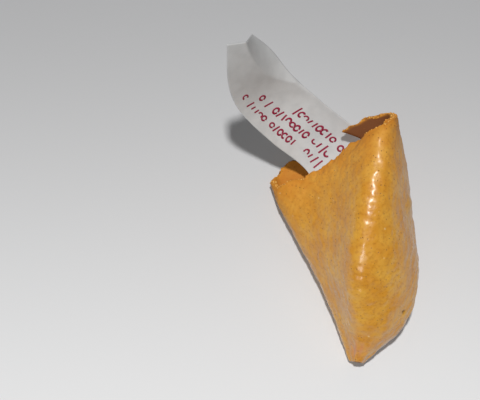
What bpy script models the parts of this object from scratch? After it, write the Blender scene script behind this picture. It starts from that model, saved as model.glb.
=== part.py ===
"""Half of a fortune cookie that was broken open, with its fortune slip still in the pocket.

A fortune cookie is one thin round wafer, folded over a paper slip while hot and then bent.
Each broken half is a hollow pocket: an upper leaf and a lower leaf that are one wall, joined
by a fold along one side. At one end is the broken mouth, at the other the closed tip, and on
the side away from the fold the wafer's natural rims leave a slit.

Units are metres, +Z is up and the half lies on its lower leaf. Sections run across the
pocket, from the mouth (station 0) to the tip (station 1), and each is a smooth curve from
the upper leaf's rim, over the crest and round the fold, to the lower leaf's rim.
"""

import math

import bmesh
import bpy
import numpy as np

MM = 0.001

# Driving sizes of the wafer half, in millimetres.
WALL = 1.8  # thickness of the baked wafer
RIM_WALL_SHARE = 0.62  # the wall's thickness at its edges, as a share of WALL
SECTIONS = 35
SECTION_POINTS = 54
SECTION_EASING = 3

# Plan outline, in millimetres: the fold side and the slit side, from the mouth to the tip.
FOLD_SIDE = ((5.7, 0.5), (9.6, -7.4), (13.5, -14.6), (17.0, -22.6), (20.0, -29.9))
SLIT_SIDE = ((29.6, 11.5), (31.0, -1.9), (32.6, -14.3), (30.4, -23.2), (22.9, -30.5))

# Shape of the section at five even stations from the mouth to the tip, in millimetres.
CREST_HEIGHT = (19.6, 20.3, 17.2, 10.6, 3.6)
CREST_SHARE = (0.79, 0.57, 0.38, 0.31, 0.48)  # where the crest is, from fold to slit
FOLD_RADIUS = (2.3, 2.5, 2.9, 2.2, 0.75)
FULL_FOLD = 2.0  # the rims keep their full shape down to this fold radius
SLIT_HEIGHT = (15.4, 11.0, 7.8, 5.0, 1.9)  # height of the widest point on the slit side
FLANK_SAG = (1.1, 0.6, -0.3, -0.9, 0.0)  # hollow of the upper leaf between fold and crest

# The upper leaf's rim: rolled in as a hook at the mouth, and low down from the roll's end on.
HOOK_REACH = 10.4
HOOK_DROP = 3.0
ROLL_END = 0.34  # station where the roll has straightened
RIM_INSET = 0.9
RIM_HEIGHT = 3.9
LOWER_RIM_SHARE = 0.79  # where the lower leaf ends, from fold to slit
LOWER_RIM_LIFT = 0.6
TIP_WALL_SHARE = 0.5
TIP_LENGTH = 0.25  # stations over which the wall thins towards the tip

# The broken mouth: how far the wall stands out past station 0, by place round the section.
BREAK_REACH = (3.6, 3.8, 1.0, 0.2, -0.5, -0.6, 1.2, 4.4, 5.6, 5.0)
BREAK_DEPTH = 0.26  # stations over which the broken edge fades out
BREAK_RIPPLE = 0.22

# The fortune slip: a narrow paper strip, a trough in section, that rises out of the mouth.
SLIP_WIDTH = 12.0
SLIP_PAPER = 0.16
SLIP_CUPPING = (0.5, 0.7, 1.0, 1.4, 1.9, 2.3)
SLIP_LEFT = (
    (17.2, -5.0, 5.6),
    (16.0, -1.7, 5.8),
    (12.4, 4.6, 6.6),
    (5.6, 8.7, 12.4),
    (0.2, 13.8, 21.0),
    (-2.0, 18.9, 34.5),
)
SLIP_RIGHT = (
    (25.2, 2.6, 6.8),
    (24.2, 5.6, 7.2),
    (21.4, 10.8, 9.5),
    (14.4, 15.6, 14.4),
    (7.2, 19.4, 20.4),
    (1.4, 23.4, 28.9),
)
SLIP_STEPS = 40
SLIP_LANES = 10


def clear_scene():
    """Removes every object that the scene starts with."""
    for obj in list(bpy.data.objects):
        bpy.data.objects.remove(obj)


def through(points, share):
    """A smooth curve through evenly spaced points, read at a share from 0 to 1."""
    points = np.asarray(points, float)
    if points.ndim == 1:
        points = points[:, None]
    spans = len(points) - 1
    place = min(max(share, 0.0), 1.0) * spans
    span = min(int(place), spans - 1)
    u = place - span
    before = points[span - 1] if span > 0 else 2 * points[0] - points[1]
    after = points[span + 2] if span + 2 <= spans else 2 * points[-1] - points[-2]
    start, end = points[span], points[span + 1]
    value = 0.5 * (
        2 * start
        + (end - before) * u
        + (2 * before - 5 * start + 4 * end - after) * u**2
        + (3 * start - before - 3 * end + after) * u**3
    )
    return value if len(value) > 1 else float(value[0])


def ease(share):
    """A smooth step from 0 to 1."""
    share = min(max(share, 0.0), 1.0)
    return share * share * (3 - 2 * share)


def tip_thinning(station):
    """The share of the wall's thickness that is left towards the tip."""
    return TIP_WALL_SHARE + (1 - TIP_WALL_SHARE) * ease((1 - station) / TIP_LENGTH)


def section_controls(station, width):
    """The section's control points, as (distance from the fold side, height)."""
    crest = through(CREST_HEIGHT, station)
    crest_at = through(CREST_SHARE, station) * width
    fold = through(FOLD_RADIUS, station)
    slit = through(SLIT_HEIGHT, station)
    sag = through(FLANK_SAG, station)
    small = min(1.0, fold / FULL_FOLD)  # shrinks the rims towards the tip
    edge = WALL / 2 * tip_thinning(station)
    right = width - edge
    rolled = max(0.0, 1.0 - station / ROLL_END) ** 5

    raised = 1.0 - ease(station / ROLL_END)

    def across(low, high):
        return low + (high - low) * rolled

    def up(low, high):
        return low + (high - low) * raised

    rim = (
        across(right - RIM_INSET * small, width - HOOK_REACH),
        up(min(RIM_HEIGHT * small, 0.7 * slit), slit - HOOK_DROP),
    )
    under = (
        across(right - 0.3 * small, width - 0.62 * HOOK_REACH),
        up(0.5 * (slit + rim[1]), slit - 1.15 * HOOK_DROP),
    )
    side = (across(right, right - 0.9), up(0.78 * slit + 0.22 * rim[1], slit - 2.2))
    fold_top = (edge + 0.55 * fold, edge + 1.9 * fold)

    def flank(share):
        return (
            crest_at + (fold_top[0] - crest_at) * share,
            crest + (fold_top[1] - crest) * share - sag,
        )

    return (
        rim,
        under,
        side,
        (right, slit),
        (0.45 * crest_at + 0.55 * right, slit + 0.80 * (crest - slit)),
        (crest_at, crest),
        flank(0.36),
        flank(0.72),
        fold_top,
        (edge, edge + fold),
        (edge + 0.7 * fold, edge + 0.15 * fold),
        (0.40 * width, edge),
        (0.62 * width, edge),
        (LOWER_RIM_SHARE * width, edge + LOWER_RIM_LIFT * small),
    )


def even_curve(controls, count):
    """Points evenly spaced along the smooth curve through the controls, its bends eased."""
    fine = np.array([through(controls, i / 400) for i in range(401)])
    steps = np.linalg.norm(np.diff(fine, axis=0), axis=1)
    run = np.concatenate([[0], np.cumsum(steps)])
    wanted = np.linspace(0, run[-1], count)
    curve = np.column_stack([np.interp(wanted, run, fine[:, k]) for k in range(2)])
    for _ in range(SECTION_EASING):
        curve[1:-1] = (curve[:-2] + 2 * curve[1:-1] + curve[2:]) / 4
    return curve


def break_offset(station, around):
    """How far the broken edge moves the wall out of the mouth, in millimetres."""
    fade = max(0.0, 1.0 - station / BREAK_DEPTH) ** 2
    ripple = math.sin(37 * around) + 0.6 * math.sin(83 * around + 1.0)
    near = max(0.0, 1.0 - station / (0.3 * BREAK_DEPTH)) ** 2
    return through(BREAK_REACH, around) * fade + BREAK_RIPPLE * ripple * near


def wafer_grid():
    """Rows of points of the wall's middle surface, one row for each station."""
    mouth = np.subtract(SLIT_SIDE[0], FOLD_SIDE[0])
    outward = np.array([-mouth[1], mouth[0]]) / np.linalg.norm(mouth)
    rows = []
    for i in range(SECTIONS):
        station = i / (SECTIONS - 1)
        left = through(FOLD_SIDE, station)
        across = through(SLIT_SIDE, station) - left
        width = np.linalg.norm(across)
        curve = even_curve(section_controls(station, width), SECTION_POINTS)
        lowest = WALL / 2 * tip_thinning(station)
        row = []
        for j, (along, height) in enumerate(curve):
            around = j / (SECTION_POINTS - 1)
            plan = left + across * (along / width) + outward * break_offset(station, around)
            row.append((plan[0], plan[1], max(height, lowest)))
        rows.append(row)
    return rows


def grid_object(name, rows, collection):
    """A mesh object of quads through rows of points given in millimetres."""
    mesh = bmesh.new()
    verts = [[mesh.verts.new([c * MM for c in point]) for point in row] for row in rows]
    for here, following in zip(verts, verts[1:]):
        for k in range(len(here) - 1):
            mesh.faces.new((here[k], here[k + 1], following[k + 1], following[k]))
    data = bpy.data.meshes.new(name)
    mesh.to_mesh(data)
    mesh.free()
    data.shade_smooth()
    obj = bpy.data.objects.new(name, data)
    collection.objects.link(obj)
    return obj


def finish(name, color, roughness):
    """A Principled material with one colour."""
    material = bpy.data.materials.new(name)
    material.use_nodes = True
    shader = material.node_tree.nodes["Principled BSDF"]
    shader.inputs["Base Color"].default_value = (*color, 1.0)
    shader.inputs["Roughness"].default_value = roughness
    return material


def thicken(obj, thickness):
    """Gives an open surface a wall, half on each side."""
    wall = obj.modifiers.new("wall", "SOLIDIFY")
    wall.thickness = thickness * MM
    wall.offset = 0.0
    wall.use_even_offset = False
    return wall


def thin_edges(obj, rows, columns):
    """Weights that thin the wall at its rims and broken edge, and at the tip."""
    group = obj.vertex_groups.new(name="wall")
    for i in range(rows):
        for j in range(columns):
            inside = min(i, j, rows - 1 - i, columns - 1 - j) / 3
            weight = RIM_WALL_SHARE + (1 - RIM_WALL_SHARE) * ease(inside)
            weight *= tip_thinning(i / (rows - 1))
            group.add([i * columns + j], weight, "REPLACE")


def build_wafer(collection):
    """The broken half of the wafer, one thin wall all round the pocket."""
    wafer = grid_object("cookie_half", wafer_grid(), collection)
    thin_edges(wafer, SECTIONS, SECTION_POINTS)
    wall = thicken(wafer, WALL)
    wall.vertex_group = "wall"
    wafer.data.materials.append(finish("baked_wafer", (0.62, 0.34, 0.09), 0.5))
    return wafer


def slip_grid():
    """Rows of points across the slip, from its end in the pocket to its free end."""
    rows = []
    for i in range(SLIP_STEPS + 1):
        share = i / SLIP_STEPS
        left, right = through(SLIP_LEFT, share), through(SLIP_RIGHT, share)
        middle, half = (left + right) / 2, (right - left) / 2
        ahead = through(SLIP_LEFT, min(share + 0.02, 1)) + through(SLIP_RIGHT, min(share + 0.02, 1))
        behind = through(SLIP_LEFT, max(share - 0.02, 0)) + through(SLIP_RIGHT, max(share - 0.02, 0))
        down = np.cross(ahead - behind, half)
        down /= np.linalg.norm(down)
        cupping = through(SLIP_CUPPING, share)
        chord = math.sqrt(SLIP_WIDTH**2 - (2.2 * cupping) ** 2) / (2 * np.linalg.norm(half))
        row = []
        for j in range(SLIP_LANES + 1):
            lane = 2 * j / SLIP_LANES - 1
            row.append(middle + half * lane * chord + down * cupping * (1 - lane**2))
        rows.append(row)
    return rows


def build_slip(collection):
    """The fortune slip, a strip of thin paper."""
    slip = grid_object("fortune_slip", slip_grid(), collection)
    thicken(slip, SLIP_PAPER)
    slip.data.materials.append(finish("slip_paper", (0.80, 0.80, 0.78), 0.7))
    return slip


def stand_on_origin(objects):
    """Moves the meshes so that the origin is under the middle of the whole, on its base."""
    bpy.context.view_layer.update()
    graph = bpy.context.evaluated_depsgraph_get()
    corners = []
    for obj in objects:
        mesh = obj.evaluated_get(graph).to_mesh()
        points = np.array([v.co for v in mesh.vertices])
        corners += [points.min(0), points.max(0)]
    low, high = np.min(corners, axis=0), np.max(corners, axis=0)
    shift = -np.array([(low[0] + high[0]) / 2, (low[1] + high[1]) / 2, low[2]])
    for obj in objects:
        for vertex in obj.data.vertices:
            vertex.co = np.array(vertex.co) + shift
    return shift


def main():
    clear_scene()
    collection = bpy.data.collections.new("fortune_cookie_half")
    bpy.context.scene.collection.children.link(collection)
    return stand_on_origin([build_wafer(collection), build_slip(collection)])


SHIFT = main()
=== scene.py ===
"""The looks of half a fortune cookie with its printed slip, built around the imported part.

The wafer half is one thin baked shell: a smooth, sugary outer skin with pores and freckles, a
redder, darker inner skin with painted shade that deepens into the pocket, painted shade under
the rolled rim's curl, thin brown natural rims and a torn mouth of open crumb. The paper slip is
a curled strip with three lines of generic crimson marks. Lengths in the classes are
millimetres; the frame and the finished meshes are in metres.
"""

from __future__ import annotations

import logging
import math
from dataclasses import dataclass, field
from enum import Enum

import bmesh
import bpy
import numpy as np
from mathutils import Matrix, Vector, noise


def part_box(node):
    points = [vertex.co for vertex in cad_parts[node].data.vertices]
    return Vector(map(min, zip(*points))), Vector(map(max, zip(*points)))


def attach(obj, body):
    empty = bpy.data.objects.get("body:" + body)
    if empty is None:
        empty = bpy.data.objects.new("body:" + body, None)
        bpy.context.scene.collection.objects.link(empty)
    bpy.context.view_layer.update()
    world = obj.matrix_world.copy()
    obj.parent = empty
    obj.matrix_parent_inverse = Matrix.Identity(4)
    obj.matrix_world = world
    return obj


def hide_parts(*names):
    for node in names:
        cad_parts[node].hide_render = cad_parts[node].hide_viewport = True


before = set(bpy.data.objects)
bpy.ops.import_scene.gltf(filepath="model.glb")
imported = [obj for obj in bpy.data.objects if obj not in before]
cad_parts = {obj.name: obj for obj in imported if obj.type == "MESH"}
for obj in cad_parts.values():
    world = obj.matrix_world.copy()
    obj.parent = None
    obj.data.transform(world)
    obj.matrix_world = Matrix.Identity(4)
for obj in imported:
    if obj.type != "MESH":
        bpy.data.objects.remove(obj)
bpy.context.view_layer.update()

Array = np.ndarray
Material = bpy.types.Material
Object = bpy.types.Object
Tree = bpy.types.NodeTree
Socket = bpy.types.NodeSocket
MM = 0.001

logging.basicConfig(level=logging.INFO, format="%(name)s: %(message)s")
log = logging.getLogger("fortune_cookie")


# Curves and surfaces


def through(points: Array, share: Array | float) -> Array:
    """Reads a smooth curve through evenly spaced points.

    Args:
        points: The curve's points, one row each, or one number each.
        share: Where to read it, from 0 at the first point to 1 at the last.

    Returns:
        One row, or one number, for each share.
    """
    points = np.asarray(points, float)
    flat = points.ndim == 1
    if flat:
        points = points[:, None]
    spans = len(points) - 1
    place = np.clip(np.asarray(share, float), 0, 1) * spans
    span = np.minimum(place.astype(int), spans - 1)
    u = (place - span)[..., None]
    padded = np.vstack([2 * points[0] - points[1], points, 2 * points[-1] - points[-2]])
    before, start, end, after = (padded[span + k] for k in range(4))
    value = 0.5 * (
        2 * start
        + (end - before) * u
        + (2 * before - 5 * start + 4 * end - after) * u**2
        + (3 * start - before - 3 * end + after) * u**3
    )
    return value[..., 0] if flat else value


def ease(share: Array | float) -> Array:
    """A smooth step from 0 to 1."""
    share = np.clip(share, 0.0, 1.0)
    return share * share * (3 - 2 * share)


def growing(least: float, share: Array | float) -> Array:
    """A smooth growth from the least value to 1."""
    return least + (1 - least) * ease(share)


def unit(vectors: Array) -> Array:
    """The vectors at length 1."""
    return vectors / np.maximum(np.linalg.norm(vectors, axis=-1, keepdims=True), 1e-9)


def surface_normals(grid: Array) -> Array:
    """The unit normals of a grid of points, by its rows and columns."""
    return unit(np.cross(np.gradient(grid, axis=0), np.gradient(grid, axis=1)))


def roughness_of(points: Array, size: float, octaves: int, seed: float) -> Array:
    """Fractal noise for relief.

    Args:
        points: Places in millimetres, in any shape that ends in 3.
        size: Size of the largest bumps, in millimetres.
        octaves: How many finer layers are added.
        seed: Moves the pattern, so that each use has its own.

    Returns:
        Values of about -1 to 1, one for each point.
    """
    places = points.reshape(-1, 3) / size + seed
    values = [noise.fractal(Vector(p), 0.8, 2.0, octaves) for p in places]
    return np.array(values).reshape(points.shape[:-1])


def edge_directions(grid: Array) -> Array:
    """Unit directions that point out of a grid's four edges, and zero inside it."""
    out = np.zeros_like(grid)
    along = unit(np.gradient(grid, axis=0))
    across = unit(np.gradient(grid, axis=1))
    out[0] -= along[0]
    out[-1] += along[-1]
    out[:, 0] -= across[:, 0]
    out[:, -1] += across[:, -1]
    return unit(out)


def quads(index: Array) -> Array:
    """The corners of the faces between points, from the points' numbers by row and column."""
    corners = [index[:-1, :-1], index[:-1, 1:], index[1:, 1:], index[1:, :-1]]
    return np.stack(corners, -1).reshape(-1, 4)


def linked(name: str, data: bpy.types.ID) -> Object:
    """A new object in the scene."""
    obj = bpy.data.objects.new(name, data)
    bpy.context.scene.collection.objects.link(obj)
    return obj


def closed_sheet(name: str, layers: Array, values: dict[str, Array]) -> Object:
    """Makes a closed thin solid from layers of points through its thickness.

    Args:
        name: The object's name.
        layers: Points in metres, by layer, row and column. The first and last layers are the
            two skins; those between them only shape the edges.
        values: Numbers for the points, by attribute name, in the layers' shape.

    Returns:
        The mesh object, smooth shaded, with its attributes.
    """
    count, rows, columns = layers.shape[:3]
    index = np.arange(count * rows * columns).reshape(count, rows, columns)
    faces = np.vstack(
        [
            quads(index[0]),
            quads(index[-1])[:, ::-1],
            quads(index[:, 0])[:, ::-1],
            quads(index[:, -1]),
            quads(index[:, :, 0]),
            quads(index[:, :, -1])[:, ::-1],
        ]
    )
    used, faces = np.unique(faces, return_inverse=True)
    faces = faces.reshape(-1, 4)
    points = layers.reshape(-1, 3)[used]
    corners = points[faces]
    turn = np.cross(corners[:, 1] - corners[:, 0], corners[:, 2] - corners[:, 0])
    turn += np.cross(corners[:, 2] - corners[:, 0], corners[:, 3] - corners[:, 0])
    if np.einsum("ij,ij->", corners.mean(1), turn) < 0:
        faces = faces[:, ::-1]
    mesh = bpy.data.meshes.new(name)
    mesh.from_pydata(points.tolist(), [], faces.tolist())
    for key, numbers in values.items():
        layer = mesh.attributes.new(key, "FLOAT", "POINT")
        layer.data.foreach_set("value", numbers.reshape(-1)[used].astype(np.float32))
    mesh.shade_smooth()
    return linked(name, mesh)


# Node helpers


def linear(code: str) -> tuple[float, float, float, float]:
    """Turns an sRGB hex colour, such as "#c98f45", into linear RGBA."""
    channels = [int(code[i : i + 2], 16) / 255 for i in (1, 3, 5)]
    return (*(c / 12.92 if c <= 0.04045 else ((c + 0.055) / 1.055) ** 2.4 for c in channels), 1.0)


def scale_for(size: float) -> float:
    """The scale of a pattern on Object coordinates whose features are size millimetres wide."""
    return 1.0 / (size * MM)


def feed(node: bpy.types.Node, inputs: dict) -> None:
    """Sets a node's inputs, or links sockets into them, by input name or number."""
    for key, value in inputs.items():
        if isinstance(value, Socket):
            node.id_data.links.new(value, node.inputs[key])
        else:
            node.inputs[key].default_value = value


def add(tree: Tree, kind: str, inputs: dict | None = None, **settings: object) -> bpy.types.Node:
    """Adds a node to a tree.

    Args:
        tree: The tree to add to.
        kind: The node's type name.
        inputs: Input values or the output sockets to link in, by input name or number.
        settings: The node's own properties.

    Returns:
        The node.
    """
    node = tree.nodes.new(kind)
    for key, value in settings.items():
        setattr(node, key, value)
    feed(node, inputs or {})
    return node


def cloud(tree: Tree, size: float, detail: float) -> Socket:
    """Noise on Object coordinates, its features size millimetres wide."""
    place = add(tree, "ShaderNodeTexCoord").outputs["Object"]
    pattern = {"Vector": place, "Scale": scale_for(size), "Detail": detail}
    return add(tree, "ShaderNodeTexNoise", pattern).outputs["Fac"]


def remap(tree: Tree, value: Socket, source: tuple, target: tuple = (0.0, 1.0)) -> Socket:
    """Stretches a value smoothly from one range to another, held at both ends."""
    limits = {"Value": value, 1: source[0], 2: source[1], 3: target[0], 4: target[1]}
    return add(tree, "ShaderNodeMapRange", limits, interpolation_type="SMOOTHSTEP").outputs[0]


def product(tree: Tree, a: Socket, b: Socket | float) -> Socket:
    """The product of two values."""
    return add(tree, "ShaderNodeMath", {0: a, 1: b}, operation="MULTIPLY").outputs[0]


def tinted(tree: Tree, base: Socket | tuple, tint: tuple, amount: Socket) -> Socket:
    """Mixes a tint into a base colour by an amount."""
    colours = {"Factor": amount, 6: base, 7: tint}
    return add(tree, "ShaderNodeMix", colours, data_type="RGBA").outputs[2]


def bumped(tree: Tree, height: Socket, strength: float, distance: float) -> Socket:
    """A normal that a height bends, by at most distance millimetres."""
    bump = {"Height": height, "Strength": strength, "Distance": distance * MM}
    return add(tree, "ShaderNodeBump", bump).outputs[0]


def blank_material(name: str) -> tuple[Material, Tree, bpy.types.Node]:
    """A new material, its node tree and its Principled shader."""
    material = bpy.data.materials.new(name)
    material.use_nodes = True
    tree = material.node_tree
    return material, tree, tree.nodes["Principled BSDF"]


def growth_tree(name: str, inputs: dict[str, str]) -> Tree:
    """Starts a Geometry Nodes tree.

    Args:
        name: The tree's name.
        inputs: The kind of each input that follows the geometry, Float or Int, by name.

    Returns:
        The tree, with its inputs and its geometry output.
    """
    tree = bpy.data.node_groups.new(name, "GeometryNodeTree")
    face = tree.interface
    face.new_socket("Geometry", in_out="INPUT", socket_type="NodeSocketGeometry")
    for label, kind in inputs.items():
        face.new_socket(label, in_out="INPUT", socket_type="NodeSocket" + kind)
    face.new_socket("Geometry", in_out="OUTPUT", socket_type="NodeSocketGeometry")
    return tree


# Finishes


@dataclass(frozen=True)
class BakedWafer:
    """Thin batter of flour, sugar and egg baked between hot plates.

    It gives the eye a golden-tan skin with a sugary gloss, freckles where the sugar turned brown,
    open pores, a redder inside with painted shade that deepens into the pocket, painted shade under
    the rolled rim's curl and a pale yellow crumb where it is torn.
    """

    golden: str = "#cf8c26"
    pale: str = "#dfa944"
    freckle: str = "#a8661f"
    pore: str = "#7a4716"
    speck: str = "#ecc888"
    toasted: str = "#cc7c18"
    # the inner skin's own redder tone, also used as painted shade deeper in the pocket
    inside: str = "#b0661c"
    rim: str = "#8a4c18"
    # painted shade: dark brown on the inner skin under the rolled rim's curl
    painted_hook_shade: str = "#6a3a12"
    crumb: str = "#c47f20"
    pinch: str = "#d9846a"
    # dark spots: a brown patch on the bump, and painted shade in the pit
    spot_and_pit_shade: str = "#3c1c06"
    blotch_size: float = 3.6
    freckle_size: float = 0.5
    pore_spacing: float = 0.9
    speck_spacing: float = 2.6
    grain_size: float = 0.42
    skin_roughness: tuple[float, float] = (0.26, 0.4)
    crumb_roughness: float = 0.85
    refraction: float = 1.46
    glaze: float = 0.6
    glaze_roughness: float = 0.25
    bump_height: float = 0.1
    bump_strength: float = 0.55
    pinch_strength: float = 0.55

    def material(self) -> Material:
        """Builds the wafer's material.

        Returns:
            The material, which reads the shell's own attributes.
        """
        material, tree, shader = blank_material("baked_wafer")
        place = add(tree, "ShaderNodeTexCoord").outputs["Object"]

        def dots(spacing: float) -> Socket:
            setting = {"Vector": place, "Scale": scale_for(spacing)}
            return add(tree, "ShaderNodeTexVoronoi", setting).outputs["Distance"]

        def stored(name: str) -> Socket:
            return add(tree, "ShaderNodeAttribute", attribute_name=name).outputs["Fac"]

        blotch = remap(tree, cloud(tree, self.blotch_size, 4.0), (0.34, 0.7), (0.1, 0.8))
        freckle = remap(tree, cloud(tree, self.freckle_size, 3.0), (0.48, 0.68), (0.0, 0.36))
        pore = remap(tree, dots(self.pore_spacing), (0.17, 0.06), (0.0, 0.75))
        speck = remap(tree, dots(self.speck_spacing), (0.10, 0.04), (0.0, 0.7))
        grain = cloud(tree, self.grain_size, 2.0)
        uneven = remap(tree, cloud(tree, 4.0, 3.0), (0.3, 0.7), (0.35, 0.9))
        toasting = product(tree, stored("near_mouth"), uneven)
        open_crumb = remap(tree, cloud(tree, 0.8, 3.0), (0.38, 0.56), (0.35, 1.0))
        crumbling = product(tree, stored("torn"), open_crumb)

        tints = (
            (self.freckle, freckle),
            (self.toasted, toasting),
            # inner skin: its own redder tone plus painted shade that deepens into the pocket
            (self.inside, stored("inside")),
            (self.rim, stored("rim")),
            # painted shade under the rolled rim's curl
            (self.painted_hook_shade, stored("painted_hook_shade")),
            (self.pore, pore),
            (self.speck, speck),
            (self.crumb, crumbling),
            (self.pinch, product(tree, stored("pinched"), self.pinch_strength)),
            # a brown patch on the bump, and painted shade in the pit
            (self.spot_and_pit_shade, stored("spot_and_pit_shade")),
        )
        colour = tinted(tree, linear(self.golden), linear(self.pale), blotch)
        for tint, amount in tints:
            colour = tinted(tree, colour, linear(tint), amount)

        skin = remap(tree, cloud(tree, 1.6, 3.0), (0.35, 0.65), self.skin_roughness)
        dull = {"Factor": stored("glazed"), 2: self.crumb_roughness, 3: skin}
        pitted = add(tree, "ShaderNodeMath", {0: grain, 1: pore}, operation="SUBTRACT").outputs[0]
        look = {
            "Base Color": colour,
            "Roughness": add(tree, "ShaderNodeMix", dull).outputs[0],
            "Normal": bumped(tree, pitted, self.bump_strength, self.bump_height),
            "IOR": self.refraction,
            "Coat Weight": product(tree, stored("glazed"), self.glaze),
            "Coat Roughness": self.glaze_roughness,
        }
        feed(shader, look)
        return material


@dataclass(frozen=True)
class BakedCrumb:
    """The open crumb of the wafer, broken.

    It gives the eye rough, dull grains of pale yellow to toasted orange.
    """

    pale: str = "#e2ae58"
    toasted: str = "#c07a22"
    grain_size: float = 0.5
    roughness: float = 0.85
    bump_height: float = 0.05

    def material(self) -> Material:
        """Builds the crumb's material."""
        material, tree, shader = blank_material("baked_crumb")
        grain = cloud(tree, self.grain_size, 3.0)
        amount = remap(tree, grain, (0.35, 0.65))
        colour = tinted(tree, linear(self.pale), linear(self.toasted), amount)
        normal = bumped(tree, grain, 0.5, self.bump_height)
        feed(shader, {"Base Color": colour, "Roughness": self.roughness, "Normal": normal})
        return material


@dataclass(frozen=True)
class SlipPaper:
    """Thin uncoated bond paper, machine made.

    It gives the eye a matt white with a faint cloud of fibres and a fine tooth.
    """

    white: str = "#c9c9c8"
    fibre: str = "#c1c1c0"
    cloud_size: float = 2.2
    fibre_size: float = 0.25
    tooth_height: float = 0.02
    roughness: float = 0.72
    specular: float = 0.35

    def material(self) -> Material:
        """Builds the paper's material."""
        material, tree, shader = blank_material("slip_paper")
        fibres = cloud(tree, self.fibre_size, 3.0)
        amount = remap(tree, cloud(tree, self.cloud_size, 5.0), (0.3, 0.7))
        colour = tinted(tree, linear(self.white), linear(self.fibre), amount)
        normal = bumped(tree, fibres, 0.25, self.tooth_height)
        feed(shader, {"Base Color": colour, "Roughness": self.roughness, "Normal": normal})
        shader.inputs["Specular IOR Level"].default_value = self.specular
        return material


@dataclass(frozen=True)
class CrimsonInk:
    """Offset printing ink, sunk into paper.

    It gives the eye a flat dark crimson that is slightly uneven where the paper's tooth shows.
    """

    crimson: str = "#8e1236"
    worn: str = "#a8425c"
    tooth_size: float = 0.3
    roughness: float = 0.6

    def material(self) -> Material:
        """Builds the ink's material."""
        material, tree, shader = blank_material("crimson_ink")
        worn = remap(tree, cloud(tree, self.tooth_size, 2.0), (0.55, 0.8), (0.0, 0.6))
        colour = tinted(tree, linear(self.crimson), linear(self.worn), worn)
        feed(shader, {"Base Color": colour, "Roughness": self.roughness})
        return material


@dataclass(frozen=True)
class PaleTable:
    """A matt painted board.

    It gives the eye a plain pale grey, painted lighter at the front and darker at the back as a
    painted falloff of the lamps' light.
    """

    # near and far: a painted light falloff, lighter at the front, darker at the back
    near: str = "#e4e4e4"
    far: str = "#a4a4a5"
    near_at: float = -60.0
    far_at: float = 60.0
    roughness: float = 0.7

    def material(self) -> Material:
        """Builds the table's material."""
        material, tree, shader = blank_material("pale_table")
        place = add(tree, "ShaderNodeTexCoord").outputs["Object"]
        depth = add(tree, "ShaderNodeSeparateXYZ", {0: place}).outputs["Y"]
        # painted falloff of light from the front to the back of the table
        amount = remap(tree, depth, (self.near_at * MM, self.far_at * MM))
        colour = tinted(tree, linear(self.near), linear(self.far), amount)
        feed(shader, {"Base Color": colour, "Roughness": self.roughness})
        return material


# The wafer half


@dataclass(frozen=True)
class SurfaceMark:
    """A small feature of the outer skin.

    Attributes:
        station: Where it is, from the mouth (0) to the tip (1).
        around: Where it is round the section, from the upper leaf's rim (0) to the lower's (1).
        radius: Its radius in millimetres.
        height: How far it stands out, in millimetres; below 0 it is a pit.
        spot_and_pit_shade: How dark it is painted, from 0 to 1; in a pit this darkness is painted
            shade.
    """

    station: float
    around: float
    radius: float
    height: float
    spot_and_pit_shade: float = 0.0


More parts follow.
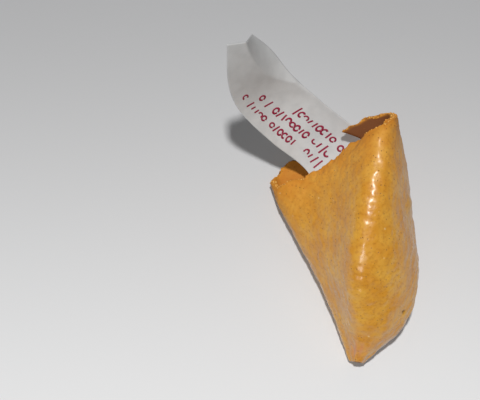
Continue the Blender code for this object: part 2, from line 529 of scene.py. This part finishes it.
@dataclass
class WaferHalf:
    """The broken half of the wafer: an upper and a lower leaf, one wall, round a pocket.

    The tuples of five run from the mouth to the tip. Where flank_sag is below 0, the upper leaf
    bulges between the fold and the crest. Each row of skin_relief is a height, a size, a number
    of octaves and a seed.
    """

    wall: float = 1.8
    fold_side: tuple = ((5.7, 0.5), (9.6, -7.4), (13.5, -14.6), (17.0, -22.6), (20.0, -29.9))
    slit_side: tuple = ((29.6, 11.5), (31.0, -1.9), (32.6, -14.3), (30.4, -23.2), (22.9, -30.5))
    crest_height: tuple = (19.6, 20.3, 17.2, 10.6, 3.6)
    crest_share: tuple = (0.79, 0.57, 0.38, 0.31, 0.48)
    fold_radius: tuple = (2.3, 2.5, 2.9, 2.2, 0.75)
    full_fold: float = 2.0
    slit_height: tuple = (15.4, 11.0, 7.8, 5.0, 1.9)
    flank_sag: tuple = (1.1, 0.6, -0.3, -0.9, 0.0)
    hook_reach: float = 10.4
    hook_drop: float = 3.0
    roll_end: float = 0.34
    rim_inset: float = 0.9
    rim_height: float = 3.9
    lower_rim_share: float = 0.79
    lower_rim_lift: float = 0.6
    tip_wall_share: float = 0.5
    tip_length: float = 0.25
    break_reach: tuple = (3.6, 3.8, 1.0, 0.1, -0.5, -0.6, 1.2, 4.4, 5.6, 5.0)
    break_depth: float = 0.26
    break_ripple: float = 0.22
    coarse_points: int = 54
    easing: int = 3
    rows: int = 150
    columns: int = 300
    edge_layers: int = 7
    row_bunching: float = 1.3
    rim_wall_share: float = 0.72
    rim_taper: float = 2.5
    torn_wall_share: float = 0.66
    torn_taper: float = 3.0
    raggedness: float = 0.32
    chipping: float = 0.45
    crease_depth: float = 0.16
    skin_relief: tuple = ((0.22, 8.0, 2, 3.1), (0.06, 2.1, 2, 17.7), (0.12, 0.85, 1, 41.3))
    inner_relief: tuple = (0.08, 2.4, 3, 29.9)
    torn_reach: float = 0.38
    dull_reach: float = 9.0
    dull_share: float = 0.85
    place: Array = field(init=False)
    torn_face: Array = field(init=False)
    finish: BakedWafer = BakedWafer()
    marks: tuple[SurfaceMark, ...] = (
        SurfaceMark(0.27, 0.15, 1.8, 0.55, 0.15),
        # the pit's near-black is painted shade
        SurfaceMark(0.70, 0.14, 0.35, -0.35, 0.95),
    )

    def tip_thinning(self, station: float) -> float:
        """The share of the wall's thickness that is left towards the tip."""
        return float(growing(self.tip_wall_share, (1 - station) / self.tip_length))

    def section_controls(self, station: float, width: float) -> list[tuple[float, float]]:
        """The section's control points.

        Args:
            station: Where the section is, from the mouth (0) to the tip (1).
            width: The distance from the fold side to the slit side.

        Returns:
            Points as (distance from the fold side, height), from the upper leaf's rim to the
            lower leaf's.
        """
        rows = (self.crest_height, self.crest_share, self.fold_radius, self.slit_height)
        crest, crest_share, fold, slit = (float(through(row, station)) for row in rows)
        crest_at = crest_share * width
        sag = float(through(self.flank_sag, station))
        small = min(1.0, fold / self.full_fold)
        edge = self.wall / 2 * self.tip_thinning(station)
        right = width - edge
        rolled = max(0.0, 1.0 - station / self.roll_end) ** 5
        raised = 1.0 - float(ease(station / self.roll_end))

        def across(low: float, high: float) -> float:
            return low + (high - low) * rolled

        def up(low: float, high: float) -> float:
            return low + (high - low) * raised

        rim = (
            across(right - self.rim_inset * small, width - self.hook_reach),
            up(min(self.rim_height * small, 0.7 * slit), slit - self.hook_drop),
        )
        under = (
            across(right - 0.3 * small, width - 0.62 * self.hook_reach),
            up(0.5 * (slit + rim[1]), slit - 1.15 * self.hook_drop),
        )
        side = (across(right, right - 0.9), up(0.78 * slit + 0.22 * rim[1], slit - 2.2))
        fold_top = (edge + 0.55 * fold, edge + 1.9 * fold)

        def flank(share: float) -> tuple[float, float]:
            return (
                crest_at + (fold_top[0] - crest_at) * share,
                crest + (fold_top[1] - crest) * share - sag,
            )

        return [
            rim,
            under,
            side,
            (right, slit),
            (0.45 * crest_at + 0.55 * right, slit + 0.80 * (crest - slit)),
            (crest_at, crest),
            flank(0.36),
            flank(0.72),
            fold_top,
            (edge, edge + fold),
            (edge + 0.7 * fold, edge + 0.15 * fold),
            (0.40 * width, edge),
            (0.62 * width, edge),
            (self.lower_rim_share * width, edge + self.lower_rim_lift * small),
        ]

    def section(self, station: float, width: float) -> Array:
        """One section's curve, evenly spaced, its bends eased."""
        fine = through(self.section_controls(station, width), np.linspace(0, 1, 401))
        run = np.concatenate([[0], np.cumsum(np.linalg.norm(np.diff(fine, axis=0), axis=1))])
        wanted = np.linspace(0, run[-1], self.coarse_points)
        curve = np.column_stack([np.interp(wanted, run, fine[:, k]) for k in range(2)])
        for _ in range(self.easing):
            curve[1:-1] = (curve[:-2] + 2 * curve[1:-1] + curve[2:]) / 4
        return through(curve, np.linspace(0, 1, self.columns))

    def stations(self) -> Array:
        """The rows' stations, closest together at the torn mouth."""
        return np.linspace(0, 1, self.rows) ** self.row_bunching

    def outward(self) -> Array:
        """The level direction that points out of the mouth."""
        mouth = np.subtract(self.slit_side[0], self.fold_side[0])
        return np.array([-mouth[1], mouth[0], 0.0]) / np.linalg.norm(mouth)

    def middle(self) -> Array:
        """The wall's middle surface, by station and by place round the section."""
        around = np.linspace(0, 1, self.columns)
        ripple = np.sin(37 * around) + 0.6 * np.sin(83 * around + 1.0)
        rows = []
        for station in self.stations():
            left = through(self.fold_side, station)
            span = through(self.slit_side, station) - left
            width = float(np.linalg.norm(span))
            curve = self.section(station, width)
            heights = np.maximum(curve[:, 1], self.wall / 2 * self.tip_thinning(station))
            fade = max(0.0, 1.0 - station / self.break_depth) ** 2
            near = max(0.0, 1.0 - station / (0.3 * self.break_depth)) ** 2
            reach = through(self.break_reach, around) * fade + self.break_ripple * ripple * near
            plan = left + span * (curve[:, :1] / width)
            row = np.column_stack([plan, heights])
            rows.append(row + self.outward() * reach[:, None])
        return np.array(rows)

    def arc_lengths(self, grid: Array) -> tuple[Array, Array, Array]:
        """Distances over the surface.

        Args:
            grid: The middle surface.

        Returns:
            The distance of each point from the mouth, from the upper leaf's rim and from the
            lower leaf's rim, in millimetres.
        """
        down = np.linalg.norm(np.diff(grid, axis=0), axis=2)
        round_ = np.linalg.norm(np.diff(grid, axis=1), axis=2)
        from_mouth = np.vstack([np.zeros((1, self.columns)), np.cumsum(down, axis=0)])
        from_rim = np.hstack([np.zeros((self.rows, 1)), np.cumsum(round_, axis=1)])
        return from_mouth, from_rim, from_rim[:, -1:] - from_rim

    def relief(self, grid: Array) -> tuple[Array, Array, Array]:
        """The unevenness of the baked skins.

        Args:
            grid: The middle surface.

        Returns:
            The outer skin's relief, the inner skin's relief, both in millimetres, and how dark
            each place is painted by the marks; in the pit that darkness is painted shade.
        """
        outer = np.zeros(grid.shape[:2])
        for height, size, octaves, seed in self.skin_relief:
            outer += height * roughness_of(grid, size, octaves, seed)
        outer += self.crease_depth * self.creases()
        inner = self.inner_relief[0] * roughness_of(grid, *self.inner_relief[1:])
        spot_and_pit_shade = np.zeros(grid.shape[:2])
        stations = self.stations()
        for mark in self.marks:
            row = int(np.argmin(abs(stations - mark.station)))
            column = int(round(mark.around * (self.columns - 1)))
            reach = np.linalg.norm(grid - grid[row, column], axis=2) / mark.radius
            bell = np.exp(-(reach**2))
            outer += mark.height * bell
            spot_and_pit_shade = np.maximum(spot_and_pit_shade, mark.spot_and_pit_shade * bell)
        return outer, inner, spot_and_pit_shade

    def painted_hook_shading(self, from_mouth: Array, from_rim: Array) -> Array:
        """How much painted shade darkens the rolled rim's inner skin near the mouth, by layer, row
        and column.
        """
        share = np.linspace(0, 1, self.edge_layers)[:, None, None]
        rolled = ease((self.hook_reach + 2.0 - from_rim) / 5.0)
        near = ease((14.0 - from_mouth) / 8.0)
        return ease((share - 0.35) / 0.5) * rolled * near

    def creases(self) -> Array:
        """The folds that gather at the pinched tip, from -1 to 1."""
        around = np.linspace(0, 1, self.columns)[None, :]
        stations = self.stations()[:, None]
        gather = np.exp(-(((stations - 0.97) / 0.07) ** 2))
        return gather * np.sin(44 * around + 9 * stations) * (0.6 + 0.4 * np.sin(17 * around + 1.0))

    def pinching(self) -> Array:
        """How pink the pressed tip is, from 0 to 1."""
        around = np.linspace(0, 1, self.columns)[None, :]
        stations = self.stations()[:, None]
        patch = np.exp(-(((stations - 0.94) / 0.045) ** 2) - ((around - 0.42) / 0.13) ** 2)
        streaks = 0.65 + 0.35 * np.sin(95 * around + 6 * stations)
        return patch * streaks

    def build(self) -> Object:
        """Builds and dresses the shell.

        Returns:
            The wafer half, in the frame.
        """
        grid = self.middle()
        normals = surface_normals(grid)
        if normals[self.rows // 3, self.columns // 3, 2] < 0:
            normals = -normals
        from_mouth, from_rim, from_lower_rim = self.arc_lengths(grid)
        rim_distance = np.minimum(from_rim, from_lower_rim)
        place = frame_place(grid, normals, self.wall)

        thinned = growing(self.rim_wall_share, rim_distance / self.rim_taper)
        tips = np.array([self.tip_thinning(s) for s in self.stations()])[:, None]
        broken = growing(self.torn_wall_share, from_mouth / self.torn_taper)
        half = self.wall / 2 * thinned * tips * broken
        outer, inner, spot_and_pit_shade = self.relief(grid)

        strip = grid[:1]
        ragged = self.raggedness * roughness_of(strip, 2.2, 3, 7.7)
        chips = self.chipping * np.maximum(0, roughness_of(strip, 1.3, 2, 51.2))
        inner_chips = self.chipping * np.maximum(0, roughness_of(strip, 1.5, 2, 77.7))
        fade = np.exp(-from_mouth / 0.9)[..., None]
        pull = self.outward()
        grainy = 0.5 * roughness_of(strip, 0.5, 2, 11.1)[0]

        edges = edge_directions(grid)
        bulge = np.full(grid.shape[:2], 0.75)
        layers = []
        last = self.edge_layers - 1
        for k in range(self.edge_layers):
            share = k / last
            turn = math.pi * k / last
            if 0 < k < last:
                bumps = roughness_of(strip + 3.0 * k, 0.6, 2, 11.1)[0]
                bulge[0] = 0.12 + 0.5 * bumps + 0.3 * grainy
            skin = outer * (1 - share) - inner * share
            offset = math.cos(turn) * half + skin
            chip = chips * (1 - share) + inner_chips * share
            points = grid + normals * offset[..., None]
            points += edges * (half * bulge * math.sin(turn))[..., None]
            points += pull * ((ragged - chip)[..., None] * fade)
            layers.append(points)
        layers = (np.array(layers) + place) * MM
        layers[..., 2] = np.maximum(layers[..., 2], 0.0)

        def each_layer(values: Array, innermost: float = 1.0) -> Array:
            stack = np.repeat(values[None], self.edge_layers, axis=0)
            stack[-1] *= innermost
            return stack

        torn = np.exp(-((from_mouth / self.torn_reach) ** 2))
        # inside: the inner skin's own redder tone, plus painted shade that grows with distance from
        # the mouth, deeper into the pocket
        inside = np.zeros(layers.shape[:3])
        inside[-1] = 0.5 + 0.5 * ease(from_mouth / 9.0)
        inside[last // 2 : -1] = 0.4
        dull = self.dull_share * np.exp(-((from_mouth / self.dull_reach) ** 2))
        glazed = each_layer((1 - torn) * (1 - dull))
        glazed[last // 2 :] = 0.0
        values = {
            "torn": each_layer(torn),
            "glazed": glazed,
            "rim": each_layer(np.exp(-rim_distance / 0.9) * 0.8 * (1 - torn)),
            # the inner skin's tone and painted pocket shade
            "inside": inside * (1 - torn),
            "near_mouth": each_layer(np.exp(-from_mouth / 4.5), 0.8),
            # painted shade under the rolled rim's curl, near the mouth
            "painted_hook_shade": self.painted_hook_shading(from_mouth, from_rim),
            "pinched": each_layer(self.pinching(), 0.0),
            # the bump's brown patch and the pit's painted shade
            "spot_and_pit_shade": each_layer(spot_and_pit_shade, 0.0),
        }
        shell = closed_sheet("wafer_shell", layers, values)
        shell.data.materials.append(self.finish.material())
        self.place = place
        self.torn_face = layers[:, 0]
        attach(shell, "root")
        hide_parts("cookie_half")
        log.info("wafer_shell: %d faces", len(shell.data.polygons))
        return shell


def frame_place(grid: Array, normals: Array, wall: float) -> Array:
    """Where the outlines' own origin lies in the frame.

    Args:
        grid: The wall's middle surface, in the outlines' own axes.
        normals: The surface's unit normals.
        wall: The wall's thickness.

    Returns:
        The shift in millimetres, level, that centres the wall on the CAD solid's box.
    """
    low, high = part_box("cookie_half")
    skins = np.concatenate([grid + normals * wall / 2, grid - normals * wall / 2])
    own = (skins.min((0, 1)) + skins.max((0, 1))) / 2
    shift = np.array((low + high) / 2) / MM - own
    shift[2] = 0.0
    return shift


# Crumbs on the torn edge


@dataclass
class TornEdgeCrumbs:
    """Loose grains of crumb that cling to the torn face of the wafer."""

    density: float = 9.0
    smallest: float = 0.05
    largest: float = 0.17
    lumpiness: float = 0.06
    seed: int = 8
    finish: BakedCrumb = BakedCrumb()

    def tree(self, material: Material) -> Tree:
        """Builds the node tree that scatters the grains.

        Args:
            material: What the grains are dressed with.

        Returns:
            The tree, with inputs for density, sizes and lumpiness.
        """
        kinds = dict.fromkeys(("Density", "Smallest", "Largest", "Lumpiness"), "Float")
        tree = growth_tree("torn_edge_crumbs", kinds)
        given = add(tree, "NodeGroupInput").outputs
        spread = {"Mesh": given["Geometry"], "Density": given["Density"], "Seed": self.seed}
        points = add(tree, "GeometryNodeDistributePointsOnFaces", spread).outputs[0]
        ball = {"Radius": 1.0, "Subdivisions": 2}
        grain = add(tree, "GeometryNodeMeshIcoSphere", ball).outputs[0]
        sizes = {2: given["Smallest"], 3: given["Largest"], "Seed": self.seed + 1}
        size = add(tree, "FunctionNodeRandomValue", sizes, data_type="FLOAT").outputs[1]
        spin = {0: (0.0, 0.0, 0.0), 1: (6.28, 6.28, 6.28), "Seed": self.seed + 2}
        turn = add(tree, "FunctionNodeRandomValue", spin, data_type="FLOAT_VECTOR").outputs[0]
        put = {"Points": points, "Instance": grain, "Rotation": turn, "Scale": size}
        placed = add(tree, "GeometryNodeInstanceOnPoints", put)
        real = add(tree, "GeometryNodeRealizeInstances", {0: placed.outputs[0]})
        here = add(tree, "GeometryNodeInputPosition").outputs[0]
        lumps = add(tree, "ShaderNodeTexNoise", {"Vector": here, "Scale": scale_for(0.16)})
        centred = {0: lumps.outputs["Color"], 1: (0.5, 0.5, 0.5)}
        swing = add(tree, "ShaderNodeVectorMath", centred, operation="SUBTRACT").outputs[0]
        push = {0: swing, "Scale": given["Lumpiness"]}
        offset = add(tree, "ShaderNodeVectorMath", push, operation="SCALE").outputs[0]
        moved = {"Geometry": real.outputs[0], "Offset": offset}
        lumpy = add(tree, "GeometryNodeSetPosition", moved)
        dress = {"Geometry": lumpy.outputs[0], "Material": material}
        dressed = add(tree, "GeometryNodeSetMaterial", dress)
        add(tree, "NodeGroupOutput", {0: dressed.outputs[0]})
        return tree

    def build(self, torn_face: Array) -> Object:
        """Scatters the grains over the torn face.

        Args:
            torn_face: The face's points in metres, by layer through the wall and by column.

        Returns:
            The grains as one mesh.
        """
        count, columns = torn_face.shape[:2]
        faces = quads(np.arange(count * columns).reshape(count, columns))
        base = bpy.data.meshes.new("torn_face")
        base.from_pydata(torn_face.reshape(-1, 3).tolist(), [], faces.tolist())
        sizes = {
            "Density": self.density / MM**2,
            "Smallest": self.smallest * MM,
            "Largest": self.largest * MM,
            "Lumpiness": self.lumpiness * MM,
        }
        grains = grown("torn_edge_crumbs", base, self.tree(self.finish.material()), sizes)
        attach(grains, "root")
        log.info("torn_edge_crumbs: %d faces", len(grains.data.polygons))
        return grains


def grown(name: str, base: bpy.types.Mesh, tree: Tree, sizes: dict[str, float]) -> Object:
    """Runs a Geometry Nodes tree and keeps its result as a plain mesh.

    Args:
        name: The new object's name.
        base: The mesh that the tree starts from.
        tree: The node tree.
        sizes: Values for the tree's inputs, by name.

    Returns:
        The result, as an object with no modifier.
    """
    holder = linked(name + "_base", base)
    growth = holder.modifiers.new("growth", "NODES")
    growth.node_group = tree
    for socket in tree.interface.items_tree:
        if socket.in_out == "INPUT" and socket.name in sizes:
            growth[socket.identifier] = sizes[socket.name]
    bpy.context.view_layer.update()
    graph = bpy.context.evaluated_depsgraph_get()
    mesh = bpy.data.meshes.new_from_object(holder.evaluated_get(graph))
    mesh.name = name
    bpy.data.objects.remove(holder)
    return linked(name, mesh)


# The paper slip


@dataclass
class FortuneSlip:
    """The narrow paper strip, a trough in section, that rises out of the mouth."""

    place: Array
    width: float = 12.0
    paper: float = 0.12
    cupping: tuple = (0.5, 0.7, 1.0, 1.4, 1.9, 2.3)
    left_edge: tuple = (
        (17.2, -5.0, 5.6),
        (16.0, -1.7, 5.8),
        (12.4, 4.6, 6.6),
        (5.6, 8.7, 12.4),
        (0.2, 13.8, 21.0),
        (-1.5, 20.3, 35.2),
    )
    right_edge: tuple = (
        (25.2, 2.6, 6.8),
        (24.2, 5.6, 7.2),
        (21.4, 10.8, 9.5),
        (14.4, 15.6, 14.4),
        (7.2, 19.4, 20.4),
        (1.4, 23.4, 28.9),
    )
    crease_lane: float = -0.45
    crease_slant: float = 5.0
    crease_start: float = 0.6
    crease_fade: float = 0.32
    crease_softness: float = 0.12
    crease_depth: float = -0.95
    steps: int = 220
    lanes: int = 60
    finish: SlipPaper = SlipPaper()

    def surface(self, share: Array, lane: Array) -> Array:
        """Points of the slip's middle surface.

        Args:
            share: Where along the slip, from 0 in the pocket to 1 at the free end.
            lane: Where across it, from -1 at the left edge to 1 at the right edge.

        Returns:
            Points in millimetres, in the outlines' own axes.
        """
        left, right = through(self.left_edge, share), through(self.right_edge, share)
        centre, half = (left + right) / 2, (right - left) / 2
        ahead, behind = np.minimum(share + 0.02, 1), np.maximum(share - 0.02, 0)
        run = through(self.left_edge, ahead) + through(self.right_edge, ahead)
        run -= through(self.left_edge, behind) + through(self.right_edge, behind)
        down = unit(np.cross(run, half))
        cupping = through(self.cupping, share)
        spread = np.linalg.norm(half, axis=-1)
        chord = np.sqrt(self.width**2 - (2.2 * cupping) ** 2) / (2 * spread)
        points = centre + half * (lane * chord)[..., None]
        return points + down * (cupping * self.hollow(share, lane))[..., None]

    def hollow(self, share: Array, lane: Array) -> Array:
        """The section's hollow, 1 at its deepest: a trough that turns into a soft crease."""
        crease = self.crease_lane + self.crease_slant * (1 - share)
        sharpness = ease((share - self.crease_start) / self.crease_fade)
        deepest = np.clip(crease, -0.9, 0.9)
        left, right = (1 + lane) / (1 + deepest), (1 - lane) / (1 - deepest)
        gap = left - right
        tent = 0.5 * (left + right - np.sqrt(gap**2 + self.crease_softness**2))
        return (1 - lane**2) * (1 - sharpness) + tent * sharpness * self.crease_depth

    def lay(self, share: Array, lane: Array, lift: Array | float) -> Array:
        """Points at a height over the slip's upper side, in metres in the frame."""
        step = 0.004
        here = self.surface(share, lane)
        ahead = self.surface(share + step, lane) - self.surface(share - step, lane)
        beside = self.surface(share, lane + step) - self.surface(share, lane - step)
        normal = unit(np.cross(beside, ahead))
        lift = np.broadcast_to(lift, share.shape)
        return (here + normal * lift[..., None] + self.place) * MM

    def length_table(self) -> tuple[Array, Array]:
        """Shares along the slip, and the paper's length up to each, in millimetres."""
        shares = np.linspace(0, 1, 400)
        points = self.surface(shares, np.zeros_like(shares))
        steps = np.linalg.norm(np.diff(points, axis=0), axis=1)
        return shares, np.concatenate([[0], np.cumsum(steps)])

    def build(self) -> Object:
        """Builds and dresses the slip."""
        share, lane = np.meshgrid(
            np.linspace(0, 1, self.steps), np.linspace(-1, 1, self.lanes), indexing="ij"
        )
        skins = [self.lay(share, lane, side * self.paper / 2) for side in (1, -1)]
        slip = closed_sheet("paper_slip", np.array(skins), {})
        slip.data.materials.append(self.finish.material())
        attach(slip, "root")
        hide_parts("fortune_slip")
        length = self.length_table()[1][-1]
        log.info("paper_slip: %d faces, %.1f mm long", len(slip.data.polygons), length)
        return slip


class Mark(Enum):
    """The simple shapes that the printed lines are made of."""

    BAR = "bar"
    ARCH = "arch"
    STUB = "stub"
    BOWL = "bowl"
    HOOK = "hook"
    RING = "ring"


@dataclass(frozen=True)
class PrintedLine:
    """One line of marks on the slip.

    Attributes:
        start: Distance of the first mark from the slip's free end, in millimetres.
        length: The line's length in millimetres.
        offset: Distance of its foot from the slip's left edge, in millimetres.
        height: Height of its low marks, in millimetres.
    """

    start: float
    length: float
    offset: float
    height: float


@dataclass
class SlipPrint:
    """Three lines of generic crimson marks, as a printed sentence looks from afar."""

    slip: FortuneSlip
    stroke: float = 0.33
    ink: float = 0.03
    pitch: float = 1.16
    gap_share: float = 0.17
    seed: int = 31
    lines: tuple[PrintedLine, ...] = (
        PrintedLine(13.0, 27.0, 1.7, 1.35),
        PrintedLine(16.0, 25.0, 4.2, 1.45),
        PrintedLine(22.5, 18.0, 6.8, 1.45),
    )
    finish: CrimsonInk = CrimsonInk()

    def mark_shape(self, tree: Tree, mark: Mark) -> Socket:
        """Adds the nodes of one mark, about 1 unit high, and returns its geometry."""
        stroke = self.stroke / self.lines[0].height
        if mark in (Mark.BAR, Mark.STUB):
            tall = 1.35 if mark is Mark.BAR else 0.8
            size = {"Size": (stroke, tall, self.ink), "Vertices Y": 7}
            return add(tree, "GeometryNodeMeshCube", size).outputs[0]
        start, sweep = {
            Mark.ARCH: (-0.4, 3.9),
            Mark.BOWL: (0.8, 4.6),
            Mark.HOOK: (2.7, 3.4),
            Mark.RING: (0.0, 6.0),
        }[mark]
        arc = {"Resolution": 16, "Radius": 0.35, "Start Angle": start, "Sweep Angle": sweep}
        curve = add(tree, "GeometryNodeCurveArc", arc).outputs[0]
        flat = {0: stroke, 1: self.ink}
        profile = add(tree, "GeometryNodeCurvePrimitiveQuadrilateral", flat).outputs[0]
        sweep_along = {"Curve": curve, "Profile Curve": profile, "Fill Caps": True}
        return add(tree, "GeometryNodeCurveToMesh", sweep_along).outputs[0]

    def tree(self, material: Material) -> Tree:
        """Builds the node tree that sets one line of marks.

        Args:
            material: The ink.

        Returns:
            The tree, with inputs for the count, pitch, height, gaps and seed.
        """
        kinds = dict(Count="Int", Pitch="Float", Height="Float", Gaps="Float", Seed="Int")
        tree = growth_tree("printed_line", kinds)
        given = add(tree, "NodeGroupInput").outputs
        step = add(tree, "ShaderNodeCombineXYZ", {"X": given["Pitch"]}).outputs[0]
        line = add(tree, "GeometryNodeMeshLine", {"Count": given["Count"], "Offset": step})
        chance = {"Probability": given["Gaps"], "Seed": given["Seed"]}
        gap = add(tree, "FunctionNodeRandomValue", chance, data_type="BOOLEAN").outputs[3]
        words = {"Geometry": line.outputs[0], "Selection": gap}
        spaced = add(tree, "GeometryNodeDeleteGeometry", words).outputs[0]
        shapes = add(tree, "GeometryNodeJoinGeometry")
        for mark in reversed(Mark):
            shape = self.mark_shape(tree, mark)
            whole = add(tree, "GeometryNodeGeometryToInstance", {0: shape})
            tree.links.new(whole.outputs[0], shapes.inputs[0])
        picks = {4: 0, 5: len(Mark) - 1, "Seed": given["Seed"]}
        pick = add(tree, "FunctionNodeRandomValue", picks, data_type="INT").outputs[2]
        tall = {2: 0.85, 3: 1.3, "Seed": given["Seed"]}
        stretch = add(tree, "FunctionNodeRandomValue", tall, data_type="FLOAT").outputs[1]
        size = {"X": given["Height"], "Y": product(tree, stretch, given["Height"]), "Z": 1.0}
        scale = add(tree, "ShaderNodeCombineXYZ", size).outputs[0]
        lean = {2: -0.35, 3: 0.1, "Seed": given["Seed"]}
        angle = add(tree, "FunctionNodeRandomValue", lean, data_type="FLOAT").outputs[1]
        turn = add(tree, "ShaderNodeCombineXYZ", {"Z": angle}).outputs[0]
        put = {
            "Points": spaced,
            "Instance": shapes.outputs[0],
            "Pick Instance": True,
            "Instance Index": pick,
            "Rotation": turn,
            "Scale": scale,
        }
        placed = add(tree, "GeometryNodeInstanceOnPoints", put)
        real = add(tree, "GeometryNodeRealizeInstances", {0: placed.outputs[0]})
        dress = {"Geometry": real.outputs[0], "Material": material}
        dressed = add(tree, "GeometryNodeSetMaterial", dress)
        add(tree, "NodeGroupOutput", {0: dressed.outputs[0]})
        return tree

    def build(self) -> Object:
        """Sets the lines flat, bends them onto the slip and joins them.

        Returns:
            The print as one mesh.
        """
        tree = self.tree(self.finish.material())
        shares, lengths = self.slip.length_table()
        made = []
        for number, line in enumerate(self.lines):
            base = bpy.data.meshes.new("print_base")
            sizes = {
                "Count": int(line.length / self.pitch),
                "Pitch": self.pitch,
                "Height": line.height,
                "Gaps": self.gap_share,
                "Seed": self.seed + 10 * number,
            }
            flat = grown(f"print_{number}", base, tree, sizes)
            at = np.array([v.co for v in flat.data.vertices])
            along = lengths[-1] - line.start - at[:, 0]
            across = line.offset + at[:, 1] + line.height / 2
            share = np.interp(along, lengths, shares)
            lane = 2 * across / self.slip.width - 1
            lift = self.slip.paper / 2 + at[:, 2] + 0.01
            placed = self.slip.lay(share, lane, lift)
            flat.data.vertices.foreach_set("co", placed.reshape(-1).astype(np.float32))
            made.append(flat)
        printed = joined("slip_print", made)
        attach(printed, "root")
        log.info("slip_print: %d faces", len(printed.data.polygons))
        return printed


def joined(name: str, objects: list[Object]) -> Object:
    """Joins mesh objects into the first, with all normals outwards."""
    with bpy.context.temp_override(
        active_object=objects[0], object=objects[0], selected_editable_objects=objects
    ):
        bpy.ops.object.join()
    whole = objects[0]
    whole.name = name
    work = bmesh.new()
    work.from_mesh(whole.data)
    bmesh.ops.recalc_face_normals(work, faces=work.faces)
    work.to_mesh(whole.data)
    work.free()
    return whole


# Table, light and camera


@dataclass
class Studio:
    """The plain table, the soft lamps and the camera.

    The key lamp hangs behind and above and casts the shadow. The long fill lamp hangs in front
    and casts none, so that it only lights the front and draws the gloss along the crest.
    """

    place: Array
    table_size: float = 1600.0
    lamp_from: tuple = (4.0, 112.0, 774.0)
    lamp_size: tuple = (42.0, 42.0)
    lamp_power: float = 4.8
    fill_from: tuple = (-180.0, -480.0, 555.0)
    fill_size: tuple = (42.0, 330.0)
    fill_power: float = 1.5
    sky: float = 0.06
    distance: float = 260.0
    elevation: float = 80.0
    lens: float = 103.35
    finish: PaleTable = PaleTable()

    def table(self) -> None:
        """Lays the table under the half."""
        side = self.table_size / 2 * MM
        corners = [(-side, -side, 0), (side, -side, 0), (side, side, 0), (-side, side, 0)]
        mesh = bpy.data.meshes.new("table")
        mesh.from_pydata(corners, [], [(0, 1, 2, 3)])
        mesh.materials.append(self.finish.material())
        table = linked("table", mesh)

    def lamp(self, name: str, at: tuple, size: tuple, power: float, shadow: bool) -> None:
        """Hangs a soft oblong lamp that faces the half.

        Args:
            name: The lamp's name.
            at: Its place from the outlines' own origin, in millimetres.
            size: Its width and length in millimetres.
            power: Its power in watts.
            shadow: Whether it casts shadows.
        """
        data = bpy.data.lights.new(name, "AREA")
        data.energy = power
        data.shape = "RECTANGLE"
        data.size = size[0] * MM
        data.size_y = size[1] * MM
        data.use_shadow = shadow
        lamp = linked(name, data)
        target = Vector(self.place) * MM
        lamp.location = target + Vector(at) * MM
        lamp.rotation_euler = (target - lamp.location).to_track_quat("-Z", "Y").to_euler()

    def world(self) -> None:
        """Fills the room with even pale light."""
        world = bpy.data.worlds.new("room")
        world.use_nodes = True
        back = world.node_tree.nodes["Background"]
        back.inputs["Color"].default_value = (0.93, 0.96, 1.0, 1.0)
        back.inputs["Strength"].default_value = self.sky
        bpy.context.scene.world = world

    def camera(self) -> None:
        """Sets the camera steeply over the half."""
        data = bpy.data.cameras.new("camera")
        data.lens = self.lens
        data.clip_start = 0.01
        camera = linked("camera", data)
        rise = math.radians(self.elevation)
        back = Vector((0, -math.cos(rise), math.sin(rise)))
        camera.location = Vector(self.place) * MM + back * self.distance * MM
        camera.rotation_euler = (-back).to_track_quat("-Z", "Y").to_euler()
        bpy.context.scene.camera = camera
        bpy.context.scene.view_settings.view_transform = "Standard"

    def build(self) -> None:
        """Builds the whole studio."""
        self.table()
        self.world()
        self.lamp("key", self.lamp_from, self.lamp_size, self.lamp_power, True)
        self.lamp("fill", self.fill_from, self.fill_size, self.fill_power, False)
        self.camera()


def main() -> None:
    """Builds the wafer half, its crumbs, the slip, its print and the studio, in order."""
    wafer = WaferHalf()
    wafer.build()
    TornEdgeCrumbs().build(wafer.torn_face)
    slip = FortuneSlip(wafer.place)
    slip.build()
    SlipPrint(slip).build()
    Studio(wafer.place).build()


if __name__ == "__main__":
    main()
